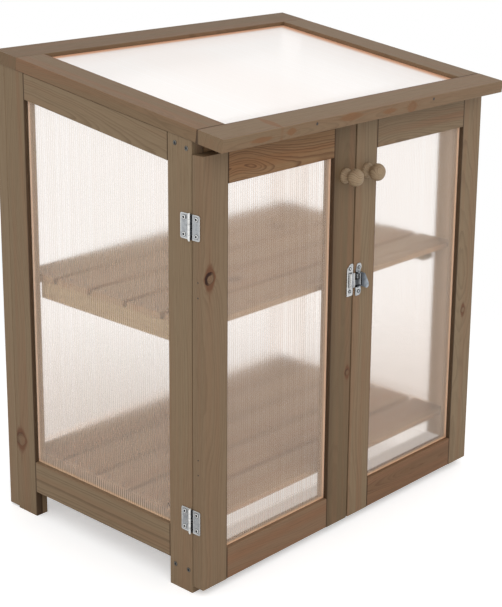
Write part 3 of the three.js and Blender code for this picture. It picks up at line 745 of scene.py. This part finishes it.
def fluted_sheet(node, turn, haze, strength, edges, tints=(), **colours):
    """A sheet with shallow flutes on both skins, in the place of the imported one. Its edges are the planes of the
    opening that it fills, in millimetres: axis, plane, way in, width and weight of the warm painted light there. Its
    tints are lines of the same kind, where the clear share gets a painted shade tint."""
    lo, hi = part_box(node)
    centre = (lo + hi) / 2
    size = hi - lo
    side = abs(size.x) < 10 * mm
    lid = node.startswith("lid")
    width = size.y if side else size.x
    height = (size.y - packed_sheet * math.sin(roof_pitch)) / math.cos(roof_pitch) if lid else size.z
    columns = 4 * round(width / flute_pitch)
    bpy.ops.mesh.primitive_grid_add(x_subdivisions=columns, y_subdivisions=1, size=1)
    sheet = bpy.context.object
    sheet.name = node.replace("sheet", "fluted_sheet")
    sheet.scale = (width, height, 1)
    settle(sheet)
    for phase, depth in ((1, 0.7), (2, 1.0), (3, 0.7)):
        edit(sheet, "VERT", lambda v: round((v.co.x / width + 0.5) * columns) % 4 == phase)
        bpy.ops.transform.translate(value=(0, 0, depth * flute_depth))
        leave()
    if lid:
        sheet.rotation_euler = (roof_pitch, 0, 0)
    elif side:
        sheet.rotation_euler = (math.pi / 2, 0, -math.pi / 2 if centre.x < 0 else math.pi / 2)
    else:
        sheet.rotation_euler = (math.pi / 2, 0, 0 if centre.y < 0 else math.pi)
    sheet.location = centre
    settle(sheet)
    if side:
        edit(sheet, "VERT")
        bpy.ops.mesh.bisect(plane_co=(centre.x, hi.y, hi.z), plane_no=(0, -math.sin(roof_pitch), math.cos(roof_pitch)),
                            clear_outer=True)
        leave()
    finish_with(sheet, "SOLIDIFY", thickness=sheet_thickness, offset=0)
    edges, tints = ([(axis, plane * mm, way, reach * mm, weight) for axis, plane, way, reach, weight in lines]
                    for lines in (edges, tints))
    dress(sheet, fluted("fluted_" + node, turn, centre, haze, strength, edges, tints, **colours))
    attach(sheet, nodes[node]["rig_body"])
    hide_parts(node)


# Lines of warm painted light on each sheet, mostly along its edges; the tints give painted shade towards the bottom
side_edges = [("Y", 178.2, -1, 11, 0.6), ("Z", 97.5, 1, 7.5, 1.5), ("Z", 97.5, 1, 34, 0.5),
              ("Y", -142.8, 1, 5, 0.4), ("Z", 97.5, 1, 300, 0.08)]
side_tints = [("Z", 97.5, 1, 360, 0.35)]
back_edges = [("X", -316.5, 1, 9, 0.6), ("X", 316.5, -1, 9, 0.6), ("Z", 97.5, 1, 9, 0.25)]
left_door_edges = [("X", -288, 1, 5, 0.3), ("X", -53, -1, 14, 0.6), ("Z", 63.5, 1, 8, 0.9), ("Z", 63.5, 1, 90, 0.3)]
right_door_edges = [("X", 53, 1, 6, 0.4), ("X", 288, -1, 14, 0.7), ("X", 288, -1, 50, 0.35),
                    ("Z", 63.5, 1, 8, 0.9), ("Z", 63.5, 1, 300, 0.08)]
lid_edges = [("Y", 192.5, -1, 15, 0.85), ("X", 284.5, -1, 26, 0.85), ("X", -284.5, 1, 6, 0.5),
             ("Y", 192.5, -1, 80, 0.08), ("X", 284.5, -1, 150, 0.04), ("X", -80, 0, 120, 0.05)]
fluted_sheet("left_side_sheet", "Y", 0.17, 0.75, side_edges, side_tints, Clear_Rib=srgb(241, 229, 220),
             warm=srgb(219, 188, 158), Haze_Rib=srgb(240, 222, 210), Blur=0.26)
fluted_sheet("right_side_sheet", "Y", 0.17, 0.6, side_edges)
fluted_sheet("back_sheet", "X", 0.19, 0.25, back_edges)
fluted_sheet("left_door_sheet", "X", 0.2, 0.8, left_door_edges, Clear_Rib=srgb(238, 225, 216))
fluted_sheet("right_door_sheet", "X", 0.17, 0.35, right_door_edges, side_tints)
fluted_sheet("lid_sheet", "X", 0.86, 0.15, lid_edges, warm=srgb(222, 158, 112), Haze=srgb(249, 245, 242))


# Bottom shelf: slats nailed on two battens

def plank(name, lo, hi, turn, seed, **look):
    """A board with eased edges."""
    lo, hi = Vector(lo) * mm, Vector(hi) * mm
    obj = cube(name, lo, hi)
    finish_with(obj, "BEVEL", width=1 * mm, segments=2)
    smooth(obj, 30)
    dress(obj, pine("pine_" + name, turn, (lo + hi) / 2, seed, **look))
    return obj


slat_fronts = [-182.31 + 82 * i for i in range(5)]
bottom_shelf_pieces = [
    plank(f"bottom_shelf_slat_{i + 1}", (-316, y, 96), (316, y + 72, 105.5), "X", 70 + i, redness=0.45, contrast=0.4,
          **shelf_look)
    for i, y in enumerate(slat_fronts)]
bottom_shelf_pieces += [
    plank(f"bottom_shelf_{word}_batten", (x, -140.81, 66), (x + 28, 176.19, 96), "Y", 80 + x, redness=0.4,
          contrast=0.6, **shelf_look)
    for word, x in (("left", -316), ("right", 288))]
for obj in bottom_shelf_pieces:
    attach(obj, "cabinet")
    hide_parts("bottom_shelf")


# Screws and nails

def recolour(obj, finish, test):
    """Gives the faces that pass the test a second finish."""
    obj.data.materials.append(finish)
    for face in obj.data.polygons:
        if test(face):
            face.material_index = len(obj.data.materials) - 1


def screw_head(name, radius, height, finish, ring):
    """A pan head whose cross recess is coloured dark as painted shade, standing along Z on its seat at Z = 0, and a
    painted ring round it.
    """
    head = cylinder(name, radius, 0, height, sides=32)
    edit(head, "EDGE", lambda e: all(v.co.z > height * 0.9 for v in e.verts))
    bpy.ops.mesh.bevel(offset=height * 0.55, segments=3)
    leave()
    arm, slit, pit = radius * 0.66, radius * 0.22, radius * 0.6
    floor, top = height * 0.3, height * 1.5
    combine(head, cylinder("pit", pit, floor, top, sides=20), "DIFFERENCE")
    combine(head, cube("arm", (-arm, -slit, floor), (arm, slit, top)), "DIFFERENCE")
    combine(head, cube("arm", (-slit, -arm, floor), (slit, arm, top)), "DIFFERENCE")
    smooth(head, 40)
    dress(head, finish)
    # Painted shade: the cross recess is coloured dark
    recolour(head, zinc_shade, lambda face: face.center.xy.length < arm * 1.02 and face.center.z < height * 0.97)
    # A thin ring round the head: painted shade of a countersink, or a painted highlight, by its finish
    painted_rim = cylinder("painted_rim", radius * 1.16, 0, head_height, sides=32)
    dress(painted_rim, ring)
    return join(head, [painted_rim])


# Screws: the bright heads and rings are painted highlight, the dark ones painted shade
plate_screw = screw_head("plate_screw", 3.2 * mm, 0.95 * mm, zinc_highlight, zinc_shade)
latch_screw = screw_head("latch_screw", 3.1 * mm, 0.8 * mm, zinc_shade, zinc_highlight)
frame_screw = screw_head("frame_screw", 3.2 * mm, 0.5 * mm, zinc_dim, zinc_shade)
shelf_nail = screw_head("shelf_nail", 2.2 * mm, 0.35 * mm, zinc_dim, zinc_shade)


def nail_mark(name, radius):
    """The dark head of a nail driven flush."""
    return dress(cylinder(name, radius, 0, head_height, sides=20), nail_black)


lid_nail = nail_mark("lid_nail", 2.3 * mm)
pin_mark = nail_mark("pin_mark", 1.2 * mm)


def at(place, direction, spin=0.0):
    """A place, with Z turned to a direction and a spin round it."""
    turn = Vector(direction).to_track_quat("Z", "Y").to_matrix().to_4x4()
    return Matrix.Translation(place) @ turn @ Matrix.Rotation(spin, 4, "Z")


# Butt hinges

def hinge_leaf(fixed):
    """One leaf of a butt hinge: pin along Z through the origin, the wood's face at X = -hinge_offset."""
    name = "fixed_leaf" if fixed else "swinging_leaf"
    way = 1 if fixed else -1
    panel_depth, panel_border = 0.3 * mm, 1.5 * mm
    root_width = 1.5 * mm
    gap = 0.15 * mm
    pin_radius, pin_end, pin_hold = 1.6 * mm, 1.5 * mm, 0.4 * mm
    face = gap - hinge_offset
    top = face + leaf_thickness
    half = leaf_length / 2
    start = leaf_start if fixed else leaf_start + root_width
    ys = sorted((way * start, way * leaf_width))
    leaf = cube(name, (face, ys[0], -half), (top, ys[1], half))
    edit(leaf, "EDGE", lambda e: all(abs(v.co.y) > leaf_width * 0.9 for v in e.verts)
         and abs(e.verts[0].co.z - e.verts[1].co.z) < mm)
    bpy.ops.mesh.bevel(offset=leaf_corner, segments=5)
    leave()
    edit(leaf, "FACE", lambda f: f.normal.x > 0.9)
    bpy.ops.mesh.inset(thickness=panel_border, depth=0)
    bpy.ops.mesh.inset(thickness=0.35 * mm, depth=-panel_depth)
    leave()
    finish_with(leaf, "BEVEL", width=0.22 * mm, segments=2, limit_method="ANGLE", angle_limit=math.radians(50))
    dress(leaf, zinc_plate)
    # Painted shade in the leaf's recessed panel
    recolour(leaf, zinc_panel_shade, lambda face: face.normal.x > 0.9 and face.center.x < top - 0.8 * panel_depth)
    length = leaf_length / 5
    knuckles = []
    for i in range(0 if fixed else 1, 5, 2):
        z0, z1 = i * length - half + gap, (i + 1) * length - half - gap
        knuckle = cylinder("knuckle", knuckle_radius, z0, z1)
        edit(knuckle, "EDGE", lambda e: abs(e.verts[0].co.z - e.verts[1].co.z) < 0.1 * mm)
        bpy.ops.mesh.bevel(offset=0.25 * mm, segments=2)
        leave()
        tab_y = sorted((way * 0.4 * mm, way * (leaf_start + 0.5 * mm)))
        combine(knuckle, cube("tab", (face, tab_y[0], z0 + 0.1 * mm), (top, tab_y[1], z1 - 0.1 * mm)))
        knuckles.append(knuckle)
    if fixed:
        for z0, z1 in ((-half - pin_end, -half + pin_hold), (half - pin_hold, half + pin_end)):
            knuckles.append(cylinder("pin_end", pin_radius, z0, z1, sides=20))
    else:
        low, high = -half + 0.2 * mm, half - 0.2 * mm
        knuckles.append(cube("root", (face, -leaf_start - root_width, low), (top - 0.5 * mm, -2.15 * mm, high)))
    # Barrels, pin ends and root: bright as a painted highlight, with painted shade on the sides that face the gap
    for knuckle in knuckles:
        smooth(knuckle, 38)
        dress(knuckle, zinc_highlight)
        recolour(knuckle, zinc_gap_shade, lambda face: abs(face.center.y) > knuckle_radius * 0.86 or face.center.x < -mm)
    smooth(leaf, 38)
    join(leaf, knuckles)
    panel = top - panel_depth
    screws = stamp(plate_screw, "leaf_screws", [
        at((panel, way * leaf_screw_reach, z), (1, 0, 0), spin)
        for z, spin in ((leaf_screw_height, 0.5), (-leaf_screw_height, 1.1))])
    return join(leaf, [screws])


fixed_leaf = hinge_leaf(True)
swinging_leaf = hinge_leaf(False)


def fit_leaf(master, node, place):
    leaf = stamp(master, node + "_fitting", [place])
    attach(leaf, nodes[node]["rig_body"])
    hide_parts(node)


for word, side in both_sides:
    for level, height in zip(("lower", "upper"), hinge_heights):
        turn = Matrix.Rotation(math.pi, 4, "Y") if side < 0 else Matrix.Identity(4)
        place = Matrix.Translation((side * (side_face + hinge_offset), hinge_pin_y, height)) @ turn
        fit_leaf(fixed_leaf, f"{word}_{level}_hinge_post_leaf", place)
        fit_leaf(swinging_leaf, f"{word}_{level}_hinge_door_leaf", place)
    across = Matrix(((0, 0, -1), (1, 0, 0), (0, -1, 0))).to_4x4()
    place = Matrix.Translation((side * lid_hinge_x, lid_pin_y, lid_pin_z))
    fit_leaf(fixed_leaf, f"{word}_lid_hinge_frame_leaf", place @ across)
    fit_leaf(swinging_leaf, f"{word}_lid_hinge_lid_leaf", place @ Matrix.Rotation(roof_pitch, 4, "X") @ across)


# Turned knobs
knob_radius = 14 * mm
knob_length = 33 * mm
knob_profile = [
    (0.86, 0), (0.875, 0.03), (0.87, 0.09), (0.83, 0.125), (0.76, 0.155), (0.64, 0.18), (0.55, 0.215), (0.505, 0.255),
    (0.5, 0.3), (0.54, 0.335), (0.62, 0.37), (0.74, 0.405), (0.85, 0.45), (0.93, 0.5), (0.98, 0.56), (1, 0.63),
    (0.985, 0.7), (0.94, 0.77), (0.86, 0.835), (0.75, 0.89), (0.6, 0.935), (0.42, 0.968), (0.22, 0.99), (0.07, 0.998),
]


def turned_knob():
    """A knob drawn out from a circle, ring by ring, standing along Z."""
    bpy.ops.mesh.primitive_circle_add(vertices=48, radius=knob_profile[0][0] * knob_radius, fill_type="NGON")
    knob = bpy.context.object
    knob.name = "knob"
    edit(knob)
    for (before, low), (after, high) in zip(knob_profile, knob_profile[1:]):
        bpy.ops.mesh.extrude_region_move(TRANSFORM_OT_translate={"value": (0, 0, (high - low) * knob_length)})
        share = after / before
        bpy.ops.transform.resize(value=(share, share, 1), center_override=(0, 0, high * knob_length))
    bpy.ops.mesh.select_all(action="SELECT")
    bpy.ops.mesh.normals_make_consistent(inside=False)
    leave()
    return smooth(knob, 50)


knob = turned_knob()
for seed, (word, side) in enumerate(both_sides):
    place = (side * knob_x, door_face - knob_gap, knob_z)
    fitted = stamp(knob, word + "_turned_knob", [at(place, (0, -1, 0), 0.4 * side)])
    dress(fitted, pine(f"pine_{word}_knob", "Y", place, 90 + seed, redness=0.25, contrast=0.6,
                       heart=(0, 6 * mm, 9 * mm), ring_width=2.4 * mm, Pale=srgb(162, 141, 114)))
    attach(fitted, word + "_door")
    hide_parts(word + "_knob")


# Small fasteners
def fasten(master, name, body, places):
    piece = stamp(master, name, places)
    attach(piece, body)


frame_screw_spots = [(-182.81, 36), (-154.81, 36), (-180.81, 686), (-157.81, 691)]
for word, side in both_sides:
    fasten(frame_screw, f"{word}_frame_screws", "cabinet", [
        at((side * side_face, y * mm, z * mm), (side, 0, 0), y + z) for y, z in frame_screw_spots])

nail_spots = [(side * 302, front + inward) for front in slat_fronts for side in (-1, 1) for inward in (18, 54)]
for shelf, top in (("middle", 420), ("bottom", 105.5)):
    fasten(shelf_nail, f"{shelf}_shelf_nails", "cabinet", [
        at((x * mm, y * mm, (top - 0.05) * mm), (0, 0, 1), x * y) for x, y in nail_spots])

# Nails through the lid's front edge, and pins in the left door's hinge edge
front_out = (0, -math.cos(roof_pitch), -math.sin(roof_pitch))
fasten(lid_nail, "lid_front_nails", "lid", [at((x * mm, -253.92 * mm, 703.5 * mm), front_out) for x in (-143.5, 143.5)])
for word, side in both_sides:
    fasten(pin_mark, word + "_door_pins", word + "_door", [
        at((side * side_face, -203.4 * mm, z * mm), (side, 0, 0)) for z in (494, 471, 221, 197)])

# How far the latch plates' fronts lie from the doors' faces, in millimetres
plate_front = 1.3
latch_screws = {"latch_keeper": (-9.5, (445.5, 408)), "latch_base": (12.7, (444, 404))}
for node, (x, heights) in latch_screws.items():
    fasten(latch_screw, node + "_screws", nodes[node]["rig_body"], [
        at((x * mm, door_face - plate_front * mm, z * mm), (0, -1, 0), z) for z in heights])


def latch_part(name, body, x, z, out, finish, ease):
    """A bar on the latch, between two places across, up and outward from the doors' faces in millimetres."""
    bar = cube(name, (x[0] * mm, door_face - out[1] * mm, z[0] * mm), (x[1] * mm, door_face - out[0] * mm, z[1] * mm))
    finish_with(bar, "BEVEL", width=ease * mm, segments=2)
    smooth(bar)
    dress(bar, finish)
    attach(bar, body)


# Painted light on the latch: bright bars as painted highlights, and a thin dark plate as painted shade on the base
latch_part("latch_base_painted_shade", "right_door", (5.4, 8), (413.8, 436.2), (plate_front, 1.45), zinc_shade, 0.05)
latch_part("latch_base_highlight", "right_door", (9.4, 10.6), (413.4, 436.6), (plate_front, 2.1), zinc_highlight, 0.3)
latch_part("latch_catch_highlight", "latch_catch", (-12.3, -10.1), (414.4, 437.6), (4.7, 5.7), zinc_highlight, 0.4)
latch_part("latch_hook_highlight", "latch_catch", (-12.6, -12.3), (414.2, 437.8), (1.8, 5.2), zinc_highlight, 0.1)
latch_part("latch_catch_rim_highlight", "latch_catch", (-3, -1.9), (414.4, 437.6), (4.7, 5.3), zinc_highlight, 0.25)
latch_part("latch_keeper_highlight", "left_door", (-16.8, -15), (402, 444), (plate_front, 1.9), zinc_highlight, 0.25)

# Light and floor

def lamp(name, place, target, size, power):
    data = bpy.data.lights.new(name, "AREA")
    data.shape = "SQUARE"
    data.size = size
    data.energy = power
    obj = bpy.data.objects.new(name, data)
    obj.matrix_world = at(place, Vector(place) - Vector(target))
    bpy.context.scene.collection.objects.link(obj)


lamp("key_lamp", (-2.2, -2.4, 2.8), (0, 0, 0.4), size=2.4, power=30)
lamp("fill_lamp", (2.6, -1.6, 1.8), (0, 0, 0.4), size=2.0, power=9)

# Strength of the white surroundings as light; rays that show them get 1
surroundings = 0.8
# The floor: its size, where it fades out, its glow in the picture and through the sheets, and its painted light below
# the shelf
floor_radius, fade_start, fade_end = 1.5, 0.5, 1.1
seen_glow, through_glow, under_glow = 0.4, 0.12, 0.4


def make_world():
    world = bpy.data.worlds.new("studio")
    bpy.context.scene.world = world
    world.use_nodes = True
    world.node_tree.nodes.clear()
    w = Wiring(world.node_tree)
    path = w.add("ShaderNodeLightPath").outputs
    seen = w.math("MAXIMUM", path["Is Glossy Ray"], path["Is Transmission Ray"])
    seen = w.math("MAXIMUM", path["Is Camera Ray"], seen)
    strength = w.scaled(seen, 1 - surroundings, surroundings)
    background = w.add("ShaderNodeBackground", {"Color": white, "Strength": strength})
    w.add("ShaderNodeOutputWorld", {"Surface": background.outputs[0]})


make_world()


def make_floor():
    bpy.ops.mesh.primitive_circle_add(vertices=96, radius=floor_radius, fill_type="NGON")
    floor = bpy.context.object
    floor.name = "floor"
    material, w, shader = new_material("floor_paper")
    place = w.here()
    grain = w.noise(place, (300, 300, 300), 2.0, 3)
    path = w.add("ShaderNodeLightPath").outputs
    apart = w.vector("MAXIMUM", w.vector("ABSOLUTE", place), (0, 0.14, 0))
    # Painted light: a pool of glow on the floor under the cabinet, seen through the sheets, over its shadow
    under = w.step(w.vector("LENGTH", w.vector("MULTIPLY", apart, (0.6, 1, 0))), 0.32, 0.2)
    through = w.times(path["Is Transmission Ray"], w.scaled(under, under_glow, through_glow))
    w.fill(shader, Base_Color=w.mix(grain, (0.9, 0.9, 0.9, 1), (0.96, 0.96, 0.96, 1)), Roughness=0.9,
           Specular_IOR_Level=0.0, Alpha=w.step(w.vector("LENGTH", place), fade_end, fade_start), Emission_Color=white,
           Emission_Strength=w.scaled(path["Is Camera Ray"], seen_glow, through))
    dress(floor, material)


make_floor()

for master in (plate_screw, latch_screw, frame_screw, shelf_nail, lid_nail, pin_mark, fixed_leaf, swinging_leaf, knob):
    bpy.data.objects.remove(master)

bpy.context.scene.view_settings.view_transform = "Standard"
